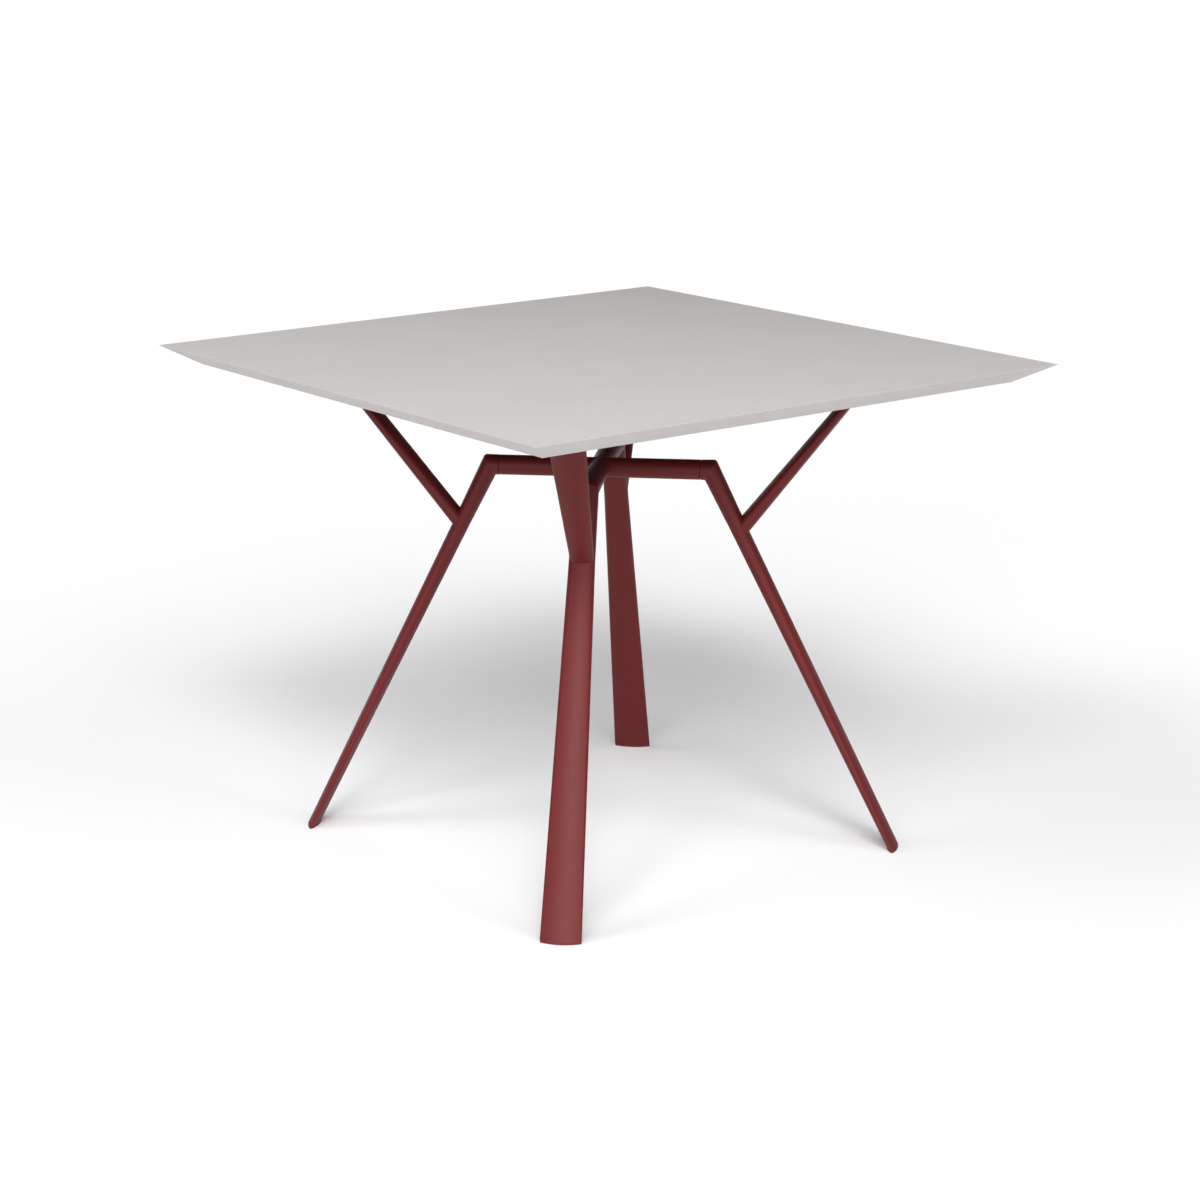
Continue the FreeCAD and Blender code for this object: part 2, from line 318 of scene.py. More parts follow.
def clean(piece: Object, angle: float = 28.0) -> None:
    """Merge doubles, point the faces outwards and smooth all but the sharp edges.

    Args:
        piece: Mesh object.
        angle: Turn in degrees above which an edge stays crisp.
    """
    with shaping(piece):
        pick_all()
        bpy.ops.mesh.remove_doubles(threshold=MERGE)
        bpy.ops.mesh.dissolve_degenerate(threshold=MERGE)
        face_out()
    take_up(piece)
    bpy.ops.object.shade_smooth_by_angle(angle=math.radians(angle))


def copy_moved(piece: Object, name: str, turn: float, shift: float = 0.0) -> Object:
    """Copy of a piece with its own mesh, turned about the table's axis or shifted.

    Args:
        piece: Mesh object at the origin.
        name: Name of the copy.
        turn: Turn in radians.
        shift: Move along Y.

    Returns:
        The copy, with its place in its mesh.
    """
    take_up(piece)
    bpy.ops.object.duplicate(linked=False)
    twin = bpy.context.object
    twin.rotation_euler.z = turn
    twin.location.y = shift
    bpy.ops.object.transform_apply(location=True, rotation=True)
    return rename(twin, name)


def finished_turn(piece: Object, name: str, turn: float) -> Object:
    """Turn a piece that has no copies into its place.

    Args:
        piece: Mesh object, which is used up.
        name: Name of the finished piece.
        turn: Turn about the table's axis in radians.

    Returns:
        The turned piece.
    """
    twin = copy_moved(piece, name, turn)
    use_up(piece)
    return twin


def hand_over(piece: Object, coat: Material, node: str) -> None:
    """Dress a finished piece and let it ride on the table.

    Args:
        piece: Mesh object in its place.
        coat: Material of the piece.
        node: CAD node that the piece stands for.
    """
    piece.data.materials.clear()
    piece.data.materials.append(coat)
    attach(piece, BODY)
    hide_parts(node)
    log.info("%s: %d faces, for %s", piece.name, len(piece.data.polygons), node)


def hand_over_copy(piece: Object, corner: Corner, name: str, coat: Material, node: str) -> None:
    """Copy a piece to a corner and hand the copy over.

    Args:
        piece: Mesh object along +X.
        corner: Corner that gets the copy.
        name: Name of the copy, up to the corner's label.
        coat: Material of the copy.
        node: Name of its CAD node, up to the corner's label.
    """
    twin = copy_moved(piece, name + corner.label, corner.turn)
    hand_over(twin, coat, node + corner.label)


# Round members


def between(start: float, end: float, share: float) -> float:
    """Value part of the way from start to end."""
    return start + (end - start) * share


def arc_point(corner: Vector, before: Vector, after: Vector, radius: float, share: float) -> Vector:
    """Point part of the way along the round at a corner between two directions.

    Args:
        corner: Where the two lines meet.
        before: Unit direction before the corner.
        after: Unit direction after it.
        radius: Radius of the round.
        share: Part of the turn, from 0 to 1.

    Returns:
        The point.
    """
    turn = before.angle(after)
    start = corner - before * (radius * math.tan(turn / 2))
    toward = (after - before * math.cos(turn)).normalized()
    swept = turn * share
    return start + before * (radius * math.sin(swept)) + toward * (radius * (1 - math.cos(swept)))


@dataclass(frozen=True)
class Oval:
    """Closed oval of four arcs, upright to the XZ plane; turn is half of the angle of an end arc."""

    centre: Vector
    out: Vector
    half_out: float
    half_side: float
    turn: float = math.radians(65)
    end_steps: int = 20
    side_steps: int = 10

    @property
    def points(self) -> int:
        """Number of points round the oval."""
        return 2 * (self.end_steps + self.side_steps)

    def draw(self) -> None:
        """Spin the four arcs from one point, in edit mode."""
        rest = math.pi / 2 - self.turn
        shift = (self.half_side - self.half_out) / (math.sin(self.turn) + math.cos(self.turn) - 1)
        to_end = SIDEWAYS * (shift * math.cos(self.turn))
        to_side = self.out * (shift * math.sin(self.turn))
        end_radius = self.half_side - shift * math.cos(self.turn)
        leaning = SIDEWAYS * math.cos(self.turn) - self.out * math.sin(self.turn)
        start = self.centre + to_end + leaning * end_radius
        axis = self.out.cross(SIDEWAYS)
        bpy.ops.mesh.select_all(action="DESELECT")
        bpy.ops.mesh.primitive_plane_add(size=MM, location=start)
        bpy.ops.mesh.merge(type="CENTER")
        for centre, angle, steps in (
            (self.centre + to_end, 2 * self.turn, self.end_steps),
            (self.centre - to_side, 2 * rest, self.side_steps),
            (self.centre - to_end, 2 * self.turn, self.end_steps),
            (self.centre + to_side, 2 * rest, self.side_steps),
        ):
            bpy.ops.mesh.spin(steps=steps, angle=angle, center=centre, axis=axis)


def round_member(name: str, ovals: Sequence[Oval], rings: Sequence[int]) -> Object:
    """Closed member with straight lines from each oval to the next.

    Args:
        name: Name of the piece.
        ovals: Sections from one end to the other.
        rings: Number of rings of points between each oval and the next.

    Returns:
        The member as a mesh object.
    """
    put_down()
    bpy.ops.mesh.primitive_plane_add(size=MM)
    member = started(name)
    with shaping(member):
        pick_all()
        bpy.ops.mesh.delete(type="VERT")
        bpy.ops.mesh.select_mode(type="VERT")
        for oval in ovals:
            oval.draw()
        pick_all()
        bpy.ops.mesh.remove_doubles(threshold=MERGE)
    count = ovals[0].points

    def oval_of(edge: bmesh.types.BMEdge) -> int:
        """Number of the oval that an edge lies on, or -1."""
        first, second = (point.index // count for point in edge.verts)
        return first if first == second < len(ovals) else -1

    def pick_ovals(*numbers: int) -> None:
        """Select the edges of some of the ovals."""
        bmesh.from_edit_mesh(member.data).verts.index_update()
        pick(member, Pick.EDGES, lambda edge: oval_of(edge) in numbers)

    with shaping(member):
        for number, extra in enumerate(rings):
            pick_ovals(number, number + 1)
            bpy.ops.mesh.bridge_edge_loops(number_cuts=extra, interpolation="LINEAR")
        for number in (0, len(ovals) - 1):
            pick_ovals(number)
            bpy.ops.mesh.edge_face_add()
        face_out()
    return member


# Finishes


def feed(tree: NodeTree, node: Node, values: dict[str | int, object]) -> None:
    """Fill the inputs of a node.

    Args:
        tree: Node tree that holds the node.
        node: Node to feed.
        values: By input name or number, a value to set or a socket to link.
    """
    for key, value in values.items():
        if isinstance(value, NodeSocket):
            tree.links.new(value, node.inputs[key])
        else:
            node.inputs[key].default_value = value


def add_node(tree: NodeTree, kind: str, values: dict[str | int, object], **settings: object) -> NodeOutputs:
    """Place a shader node and fill its inputs.

    Args:
        tree: Node tree that gets the node.
        kind: Type of the node, after the word ShaderNode.
        values: By input name or number, a value to set or a socket to link.
        settings: Properties of the node by name.

    Returns:
        The node's outputs.
    """
    node = tree.nodes.new("ShaderNode" + kind)
    for setting, value in settings.items():
        setattr(node, setting, value)
    feed(tree, node, values)
    return node.outputs


def reckon(tree: NodeTree, operation: str, *values: object) -> NodeSocket:
    """Result of a Math node on sockets and plain numbers."""
    return add_node(tree, "Math", dict(enumerate(values)), operation=operation)[0]


def node_group(name: str, inputs: dict[str, str], outputs: dict[str, str]) -> NodeTree:
    """Empty shader node group with named sockets.

    Args:
        name: Name of the group.
        inputs: Socket types by input name.
        outputs: Socket types by output name.

    Returns:
        The group, with its input and output nodes placed.
    """
    group = bpy.data.node_groups.new(name, "ShaderNodeTree")
    for direction, sockets in (("INPUT", inputs), ("OUTPUT", outputs)):
        for socket, kind in sockets.items():
            group.interface.new_socket(socket, in_out=direction, socket_type=kind)
    group.nodes.new("NodeGroupInput").name = "in"
    group.nodes.new("NodeGroupOutput").name = "out"
    return group


@dataclass
class Effects:
    """Shader node groups that more than one finish uses, each built once."""

    grain_detail: float = 2.0
    wave_detail: float = 1.0
    grain_share: float = 0.45
    cloud_detail: float = 3.0
    cloud_roughness: float = 0.6
    cloud_low: float = 0.3
    cloud_high: float = 0.7

    def __post_init__(self) -> None:
        """Build the groups."""
        self.peel: NodeTree = self.make_peel()
        self.mottle: NodeTree = self.make_mottle()

    def make_peel(self) -> NodeTree:
        """Fine uneven surface of a sprayed or moulded skin.

        Returns:
            Group with a height and a value for roughness.
        """
        group = node_group(
            "fine_skin", {"Vector": VECTOR, "Grain": FLOAT, "Wave": FLOAT}, {"Height": FLOAT, "Value": FLOAT})
        given = group.nodes["in"].outputs
        grain, wave = (
            add_node(group, "TexNoise", {"Vector": given["Vector"], "Scale": given[scale], "Detail": detail})
            for scale, detail in (("Grain", self.grain_detail), ("Wave", self.wave_detail)))
        height = reckon(group, "MULTIPLY_ADD", grain["Fac"], self.grain_share, wave["Fac"])
        feed(group, group.nodes["out"], {"Height": height, "Value": grain["Fac"]})
        return group

    def make_mottle(self) -> NodeTree:
        """Slow unevenness of a coat's colour.

        Returns:
            Group with a value from 0 to 1.
        """
        group = node_group("slow_mottle", {"Vector": VECTOR, "Scale": FLOAT}, {"Value": FLOAT})
        given = group.nodes["in"].outputs
        cloud = add_node(group, "TexNoise", {
            "Vector": given["Vector"], "Scale": given["Scale"],
            "Detail": self.cloud_detail, "Roughness": self.cloud_roughness})
        spread = add_node(group, "MapRange", {
            "Value": cloud["Fac"], "From Min": self.cloud_low, "From Max": self.cloud_high})
        feed(group, group.nodes["out"], {"Value": spread["Result"]})
        return group

    def mottled(
            self, tree: NodeTree, place: NodeSocket, scale: float, dark: Triple, light: Triple) -> NodeSocket:
        """Colour that wanders between two tones.

        Args:
            tree: Node tree of a material.
            place: Coordinates on the piece.
            scale: Fineness of the clouds.
            dark: Darker tone.
            light: Lighter tone.

        Returns:
            The socket that gives the colour.
        """
        cloud = add_node(tree, "Group", {"Vector": place, "Scale": scale}, node_tree=self.mottle)
        tones = {"Factor": cloud["Value"], "A": (*dark, 1), "B": (*light, 1)}
        return add_node(tree, "Mix", tones, data_type="RGBA")["Result"]


@dataclass(frozen=True)
class Finish:
    """Skin of one slot: its colours, sheen and fine surface."""

    name: str
    light: Triple
    dark: Triple
    rough_low: float
    rough_high: float
    grain: float
    wave: float
    relief: float
    mottle: float
    metallic: float = 0.0
    specular: float = 0.5

    def colour(self, tree: NodeTree, effects: Effects, place: NodeSocket) -> NodeSocket:
        """Socket that gives the colour of the skin."""
        return effects.mottled(tree, place, self.mottle, self.dark, self.light)

    def material(self, effects: Effects) -> Material:
        """Build the material.

        Args:
            effects: Shared node groups.

        Returns:
            The procedural material.
        """
        coat = bpy.data.materials.new(self.name)
        coat.use_nodes = True
        tree = coat.node_tree
        place = add_node(tree, "TexCoord", {})["Object"]
        peel = add_node(
            tree, "Group", {"Vector": place, "Grain": self.grain, "Wave": self.wave}, node_tree=effects.peel)
        sheen = add_node(tree, "MapRange", {
            "Value": peel["Value"], "To Min": self.rough_low, "To Max": self.rough_high})
        bump = add_node(tree, "Bump", {"Height": peel["Height"], "Distance": self.relief})
        feed(tree, tree.nodes["Principled BSDF"], {
            "Base Color": self.colour(tree, effects, place), "Roughness": sheen["Result"],
            "Normal": bump["Normal"], "Metallic": self.metallic, "Specular IOR Level": self.specular})
        return coat


@dataclass(frozen=True)
class PaintedShadeFinish(Finish):
    """Skin with painted shade: a near-black tone below a level and within a square, inside the tray, standing
    in for the shade under the top.
    """

    # Painted shade: near-black tones, and the square and level that bound them, for the tray's inside, rails
    # and plates, which stand in the shade under the top.
    shade_tone_light: Triple = (0.030, 0.029, 0.028)
    shade_tone_dark: Triple = (0.018, 0.018, 0.017)
    shade_tone_scale: float = 420.0
    shade_half: float = 405.0 * MM
    shade_level: float = 748.5 * MM

    def colour(self, tree: NodeTree, effects: Effects, place: NodeSocket) -> NodeSocket:
        """Colour of the skin, with painted shade: a near-black tone wherever the tray's inside lies in shade
        under the top.

        Args:
            tree: Node tree of the material.
            effects: Shared node groups.
            place: Coordinates on the piece.

        Returns:
            The socket that gives the colour.
        """
        bare = super().colour(tree, effects, place)
        # Painted shade: a near-black tone mixed in inside the tray, below a level and within a square.
        shade_tone = effects.mottled(tree, place, self.shade_tone_scale, self.shade_tone_dark, self.shade_tone_light)
        parts = add_node(tree, "SeparateXYZ", {"Vector": place})
        reach = reckon(tree, "MAXIMUM", *(reckon(tree, "ABSOLUTE", parts[axis]) for axis in "XY"))
        within = reckon(tree, "LESS_THAN", reach, self.shade_half)
        below = reckon(tree, "LESS_THAN", parts["Z"], self.shade_level)
        shade_mix = {"Factor": reckon(tree, "MULTIPLY", within, below), "A": bare, "B": shade_tone}
        return add_node(tree, "Mix", shade_mix, data_type="RGBA")["Result"]


# The top coat paints shade inside the tray: a near-black tone stands in for the shade under the top.
TOP_COAT = PaintedShadeFinish(
    "pale_grey_coat_painted_shade", light=(0.518, 0.495, 0.484), dark=(0.504, 0.482, 0.471),
    rough_low=0.72, rough_high=0.80, grain=2600, wave=900, relief=0.02 * MM, mottle=9, specular=0.4)
FRAME_COAT = Finish(
    "wine_red_coat", light=(0.104, 0.0080, 0.0086), dark=(0.098, 0.0074, 0.0080),
    rough_low=0.49, rough_high=0.55, grain=2600, wave=900, relief=0.02 * MM, mottle=14, specular=0.24)
GLIDE_SKIN = Finish(
    "wine_red_glide", light=(0.103, 0.0092, 0.0098), dark=(0.094, 0.0083, 0.0087),
    rough_low=0.55, rough_high=0.65, grain=3500, wave=1200, relief=0.03 * MM, mottle=60)
SCREW_SKIN = Finish(
    "zinc_plate", light=(0.62, 0.62, 0.60), dark=(0.50, 0.51, 0.52),
    rough_low=0.28, rough_high=0.42, grain=5000, wave=1500, relief=0.01 * MM, mottle=260, metallic=1.0)


# Top


@dataclass
class TableTop:
    """Folded sheet of the top, the rails that stiffen it and the plates that take the legs."""

    height: float
    side: float
    sheet: float = 3.0 * MM
    depth: float = 27.8 * MM
    bevel_inset: float = 47.2 * MM
    nose: float = 0.25 * MM
    lip: float = 18.0 * MM
    edge_round: float = 0.1 * MM
    rail_web: float = 44.0 * MM
    rail_flange: float = 14.0 * MM
    rail_wall: float = 2.0 * MM
    rail_end_gap: float = 78.0 * MM
    notch_gap: float = 0.2 * MM
    bend_radius: float = 2.5 * MM
    plate_size: Triple = (50.0 * MM, 112.0 * MM, 6.0 * MM)
    plate_corner: float = 9.0 * MM
    plate_round: float = 0.4 * MM
    thread_radius: float = 3.05 * MM

    @property
    def underside(self) -> float:
        """Height of the lower edge of the folded side."""
        return self.height - self.depth

    @property
    def sheet_back(self) -> float:
        """Height of the sheet's lower face."""
        return self.height - self.sheet

    @property
    def rail_half(self) -> float:
        """Half of a rail's full width."""
        return self.rail_web / 2 + self.rail_flange

    @property
    def rail_reach(self) -> float:
        """Distance from the table's axis to a rail's end."""
        return self.inside_half(self.sheet_back) * math.sqrt(2) - self.rail_half - self.rail_end_gap

    def inside_half(self, level: float) -> float:
        """Half width of the space inside the folded sheet at a height.

        Args:
            level: Height above the floor.

        Returns:
            Half of the inside width.
        """
        lean = self.bevel_inset / (self.depth - self.nose)
        drop = self.height - self.nose - level
        return self.side / 2 - lean * drop - self.sheet * math.hypot(1, lean)

    def build_sheet(self) -> Object:
        """Fold the sheet: down and in along its sides, a lip turned in, then back along its inside.

        Returns:
            The sheet as a closed mesh object.
        """
        half = self.side / 2
        low_half = half - self.bevel_inset
        lip_top = self.underside + self.sheet
        folds = (
            (half, self.height - self.nose),
            (low_half, self.underside),
            (low_half - self.lip, self.underside),
            (low_half - self.lip, lip_top),
            (self.inside_half(lip_top), lip_top),
            (self.inside_half(self.sheet_back), self.sheet_back),
        )
        put_down()
        bpy.ops.mesh.primitive_plane_add(size=self.side, location=UP * self.height)
        sheet = started("top_sheet_folded")
        with shaping(sheet):
            pick(sheet, Pick.EDGES, lambda edge: True)
            now_half, now_level = half, self.height
            for new_half, level in folds:
                pull_edges((0, 0, level - now_level))
                scale = new_half / now_half
                bpy.ops.transform.resize(value=(scale, scale, 1), center_override=AXIS)
                now_half, now_level = new_half, level
            bpy.ops.mesh.edge_face_add()
            face_out()
        round_edges(sheet, self.edge_round, segments=3, angle=20)
        clean(sheet, angle=25)
        return sheet

    def build_rail(self, name: str, start: float) -> Object:
        """Fold a hat-section rail along X from a strip, with sloping ends.

        Args:
            name: Name of the piece.
            start: Where the rail starts on X; a start at the axis or beyond stays square.

        Returns:
            The rail as a closed mesh object.
        """
        reach, half = self.rail_reach, self.rail_web / 2
        low = self.underside + self.plate_size[2]
        rise = self.sheet_back - self.rail_wall - low
        centre = Vector(((start + reach) / 2, 0, low))
        slopes = [(reach, 1)] if start >= 0 else [(reach, 1), (start, -1)]
        put_down()
        bpy.ops.mesh.primitive_plane_add(size=1, location=centre)
        rail = started(name)
        with shaping(rail):
            pick_all()
            bpy.ops.transform.resize(value=(reach - start, self.rail_web, 1), center_override=centre)
            for sign in (1, -1):
                pick(rail, Pick.EDGES, lambda edge: middle(edge).y * sign > half - MERGE)
                pull_edges((0, 0, rise))
                pull_edges((0, sign * self.rail_flange, 0))
            for x, sign in slopes:
                pick_all()
                bpy.ops.mesh.bisect(
                    plane_co=(x, 0, self.sheet_back), plane_no=(sign, 0, -1), clear_outer=True, threshold=MERGE)
            face_out()
            pick(rail, Pick.EDGES, lambda edge: not edge.is_boundary and runs_along(edge, OUTWARD))
            bpy.ops.mesh.bevel(offset=self.bend_radius, segments=4, affect="EDGES", clamp_overlap=False)
            pick(rail, Pick.FACES, lambda face: True)
            web = max(bmesh.from_edit_mesh(rail.data).faces, key=lambda face: face.calc_area())
            if web.normal.z > 0:
                bpy.ops.mesh.flip_normals()
        settle(rail, "SOLIDIFY", thickness=self.rail_wall, offset=-1, use_even_offset=True)
        clean(rail, angle=40)
        return rail

    def build_short_rail(self) -> Object:
        """Rail from the long rail's web to a corner, notched under the long rail's flange.

        Returns:
            The rail along X as a closed mesh object.
        """
        rail = self.build_rail("rail_short", self.rail_web / 2)
        size = (2 * self.rail_half, 4 * self.rail_half, 2 * self.rail_wall + self.notch_gap)
        work(rail, new_block("notch", size, UP * self.sheet_back), Cut.REMOVE)
        clean(rail, angle=40)
        return rail

    def build_plate(self) -> Object:
        """Plate with cut corners and two tapped holes, at +X.

        Returns:
            The plate as a closed mesh object.
        """
        thickness = self.plate_size[2]
        centre = Vector((FIXING_RADIUS, 0, self.underside + thickness / 2))
        plate = new_block("fixing_plate", self.plate_size, centre)
        cut_corners(plate, self.plate_corner)
        round_edges(plate, self.plate_round, segments=2)
        drill_pair(plate, self.thread_radius, self.underside - thickness, 3 * thickness)
        clean(plate)
        return plate

    def build(self, coat: Material) -> None:
        """Build the top's pieces and dress them.

        Args:
            coat: Finish of the top.
        """
        hand_over(self.build_sheet(), coat, "top_sheet")
        rail = self.build_rail("rail_along", -self.rail_reach)
        hand_over(finished_turn(rail, "rail_hat_long", Corner.BACK_RIGHT.turn), coat, "rail_long")
        short, plate = self.build_short_rail(), self.build_plate()
        for corner in (Corner.BACK_LEFT, Corner.FRONT_RIGHT):
            hand_over_copy(short, corner, "rail_hat_", coat, "rail_short_")
        for corner in Corner:
            hand_over_copy(plate, corner, "welded_plate_", coat, "fixing_plate_")
        use_up(short, plate)


# Frame


@dataclass
class Frame:
    """Cross under the top and the four leg castings that plug into it."""

    arm_level: float = 580.3 * MM
    arm_height: float = 29.7 * MM
    arm_width_hub: float = 30.6 * MM
    arm_width_seam: float = 35.6 * MM
    arm_rings: int = 6
    hub_radius: float = 24.0 * MM
    hub_rings: int = 11
    stub_length: float = 15.1 * MM
    stub_rings: int = 1
    seam_chamfer: float = 0.3 * MM
    groove_width: float = 0.9 * MM
    groove_depth: float = 2.2 * MM
    socket_side: float = 18.3 * MM
    socket_overcut: float = 0.1 * MM
    tenon_side: float = 18.0 * MM
    tenon_length: float = 34.0 * MM
    tenon_root: float = 6.0 * MM
    tenon_round: float = 0.8 * MM
    tenon_end_gap: float = 0.8 * MM
    elbow_radius: float = 165.3 * MM
    elbow_height: float = 30.4 * MM
    elbow_thickness: float = 28.3 * MM
    elbow_width: float = 37.2 * MM
    elbow_outer_round: float = 5.0 * MM
    elbow_inner_round: float = 1.0 * MM
    elbow_steps: int = 6
    neck_rings: int = 5
    fork_drop: float = 90.8 * MM
    fork_thickness: float = 24.4 * MM
    fork_width: float = 38.0 * MM
    leg_rings: int = 11
    foot_radius: float = 450.5 * MM
    foot_thickness: float = 16.2 * MM
    foot_width: float = 59.1 * MM
    root_thickness: float = 23.9 * MM
    root_width: float = 34.1 * MM
    branch_rings: int = 9
    tip_level: float = 722.2 * MM
    tip_thickness: float = 15.8 * MM
    tip_width: float = 55.2 * MM
    pad_size: Triple = (34.0 * MM, 96.0 * MM, 5.0 * MM)
    pad_corner: float = 9.0 * MM
    pad_round: float = 0.6 * MM
    screw_hole: float = 3.3 * MM
    glide_thickness: float = 3.0 * MM
    glide_inset: float = 0.3 * MM
    glide_chamfer: float = 0.4 * MM
    tongue_thickness: float = 5.0 * MM
    tongue_width: float = 26.0 * MM
    tongue_length: float = 14.0 * MM
    tongue_clearance: float = 0.1 * MM
    tongue_end_gap: float = 1.0 * MM

    def __post_init__(self) -> None:
        """Work out the leg's lines."""
        self.seam_radius: float = self.elbow_radius - self.stub_length
        self.fork_level: float = self.arm_level - self.fork_drop
        self.lean: float = (self.foot_radius - self.elbow_radius) / self.arm_level
        self.slant: float = math.hypot(1, self.lean)
        self.leg_down: Vector = Vector((self.lean, 0, -1)).normalized()
        self.leg_out: Vector = Vector((1, 0, self.lean)).normalized()

    def leg_axis(self, level: float) -> Vector:
        """Point of the leg's axis at a height."""
        return Vector((self.foot_radius - self.lean * level, 0, level))

    def arm_oval(self, reach: float, width: float, trim: float = 0.0) -> Oval:
        """Upright oval of an arm.

        Args:
            reach: Place along X.
            width: Full width of the arm there.
            trim: How far the outline is set in.

        Returns:
            The section.
        """
        centre = Vector((reach, 0, self.arm_level))
        return Oval(centre, UP, self.arm_height / 2 - trim, width / 2 - trim)

    def build_cross(self) -> Object:
        """Two round bars crossing in the middle, with a socket in each end.

        Returns:
            The cross, its arms along the diagonals, as a closed mesh object.
        """
        seam, edge, hub = self.seam_radius, self.seam_radius - self.seam_chamfer, self.hub_radius
        rings = (0, self.arm_rings, self.hub_rings, self.arm_rings, 0)
        cross, second = (
            round_member(name, [
                self.arm_oval(-seam, self.arm_width_seam, self.seam_chamfer),
                self.arm_oval(-edge, self.arm_width_seam),
                self.arm_oval(-hub, self.arm_width_hub),
                self.arm_oval(hub, self.arm_width_hub),
                self.arm_oval(edge, self.arm_width_seam),
                self.arm_oval(seam, self.arm_width_seam, self.seam_chamfer),
            ], rings)
            for name in ("bar", "cross_bar"))
        work(cross, finished_turn(second, "second_bar", math.pi / 2), Cut.JOIN)
        depth = self.tenon_length + self.tenon_end_gap
        size = (depth, self.socket_side, self.socket_side)
        centre = Vector((seam - depth / 2 + self.socket_overcut, 0, self.arm_level))
        for quarter in range(4):
            block = new_block("socket", size, centre)
            work(cross, finished_turn(block, "socket_turned", quarter * math.pi / 2), Cut.REMOVE)
        clean(cross)
        return finished_turn(cross, "hub_cross_cast", Corner.BACK_RIGHT.turn)

    def elbow_ovals(self) -> list[Oval]:
        """Sections that fan round the bend from the arm's direction to the leg's.

        Returns:
            The sections, from the stub to the leg.
        """
        top, fork = self.leg_axis(self.arm_level), self.leg_axis(self.fork_level)
        wide, narrow = self.leg_out * (self.elbow_thickness / 2), self.leg_out * (self.fork_thickness / 2)
        corners = []
        for sign, level in ((1, self.elbow_height / 2), (-1, -self.elbow_height / 2)):
            start, end = top + wide * sign, fork + narrow * sign
            share = (self.arm_level + level - start.z) / (end.z - start.z)
            corners.append((start.lerp(end, share), (end - start).normalized()))
        ovals = []
        for step in range(self.elbow_steps + 1):
            share = step / self.elbow_steps
            high, low = (
                arc_point(corner, OUTWARD, down, radius, share)
                for (corner, down), radius in zip(corners, (self.elbow_outer_round, self.elbow_inner_round)))
            span = high - low
            ovals.append(Oval((high + low) / 2, span.normalized(), span.length / 2, self.elbow_width / 2))
        return ovals

    def leg_oval(self, level: float, trim: float = 0.0) -> Oval:
        """Level section of the leg at or below the fork.

        Args:
            level: Height above the floor.
            trim: How far the outline is set in.

        Returns:
            The section.
        """
        share = 1 - level / self.fork_level
        thickness = between(self.fork_thickness, self.foot_thickness, share) * self.slant
        width = between(self.fork_width, self.foot_width, share)
        return Oval(self.leg_axis(level), OUTWARD, thickness / 2 - trim, width / 2 - trim)

    def build_limb(self) -> Object:
        """Stub, elbow and leg down to the glide: round at the elbow, wide and flat at the floor.

        Returns:
            The limb along +X as a closed mesh object.
        """
        width, end = self.arm_width_seam, self.seam_radius + self.groove_width
        slope = self.groove_width / 4
        stub = [
            self.arm_oval(self.seam_radius, width, self.groove_depth),
            self.arm_oval(end - slope, width, self.groove_depth),
            self.arm_oval(end, width, self.seam_chamfer),
            self.arm_oval(end + self.seam_chamfer, width),
        ]
        heel = self.glide_thickness + self.glide_chamfer
        leg = [self.leg_oval(level) for level in (self.fork_level, self.fork_level / 2, heel)]
        leg.append(self.leg_oval(self.glide_thickness, self.glide_chamfer))
        rings = [0, 0, 0, self.stub_rings] + [0] * self.elbow_steps
        rings += [self.neck_rings, self.leg_rings, self.leg_rings, 0]
        return round_member("leg", stub + self.elbow_ovals() + leg, rings)

    def build_branch(self) -> Object:
        """Branch from inside the leg up into its pad: round at the fork, wide and flat at the top.

        Returns:
            The branch along +X as a closed mesh object.
        """
        root = self.leg_axis(self.fork_level)
        tip = Vector((FIXING_RADIUS, 0, self.tip_level - self.pad_size[2] / 2))
        up = (Vector((FIXING_RADIUS, 0, self.tip_level)) - root).normalized()
        out = Vector((up.z, 0, -up.x))
        ovals = [Oval(root, out, self.root_thickness / 2, self.root_width / 2)]
        for share in (0.5, 1.0):
            thickness = between(self.root_thickness, self.tip_thickness, share) / up.z
            width = between(self.root_width, self.tip_width, share)
            ovals.append(Oval(root.lerp(tip, share), OUTWARD, thickness / 2, width / 2))
        return round_member("branch", ovals, (self.branch_rings, self.branch_rings))

    def build_pad(self) -> Object:
        """Pad on the branch's tip with cut corners and rounded edges.

        Returns:
            The pad at +X as a closed mesh object.
        """
        centre = Vector((FIXING_RADIUS, 0, self.tip_level - self.pad_size[2] / 2))
        pad = new_block("pad", self.pad_size, centre)
        cut_corners(pad, self.pad_corner)
        round_edges(pad, self.pad_round, segments=3)
        return pad

    def build_tenon(self) -> Object:
        """Square tenon that plugs into the cross, with a root inside the stub.

        Returns:
            The tenon along +X as a closed mesh object.
        """
        length = self.tenon_length + self.tenon_root
        centre = Vector((self.seam_radius - self.tenon_length + length / 2, 0, self.arm_level))
        tenon = new_block("tenon", (length, self.tenon_side, self.tenon_side), centre)
        round_edges(tenon, self.tenon_round, segments=2)
        return tenon

    def tongue_block(self, below: float, above: float, clearance: float) -> Object:
        """Flat bar along the leg's axis, round the leg's lower end.

        Args:
            below: Length below the leg's end.
            above: Length above it.
            clearance: Added all round.

        Returns:
            The bar as a mesh object.
        """
        size = (self.tongue_thickness + 2 * clearance, self.tongue_width + 2 * clearance, below + above)
        centre = self.leg_axis(self.glide_thickness) + self.leg_down * ((below - above) / 2)
        return new_block("tongue", size, centre, turn=-math.atan(self.lean))

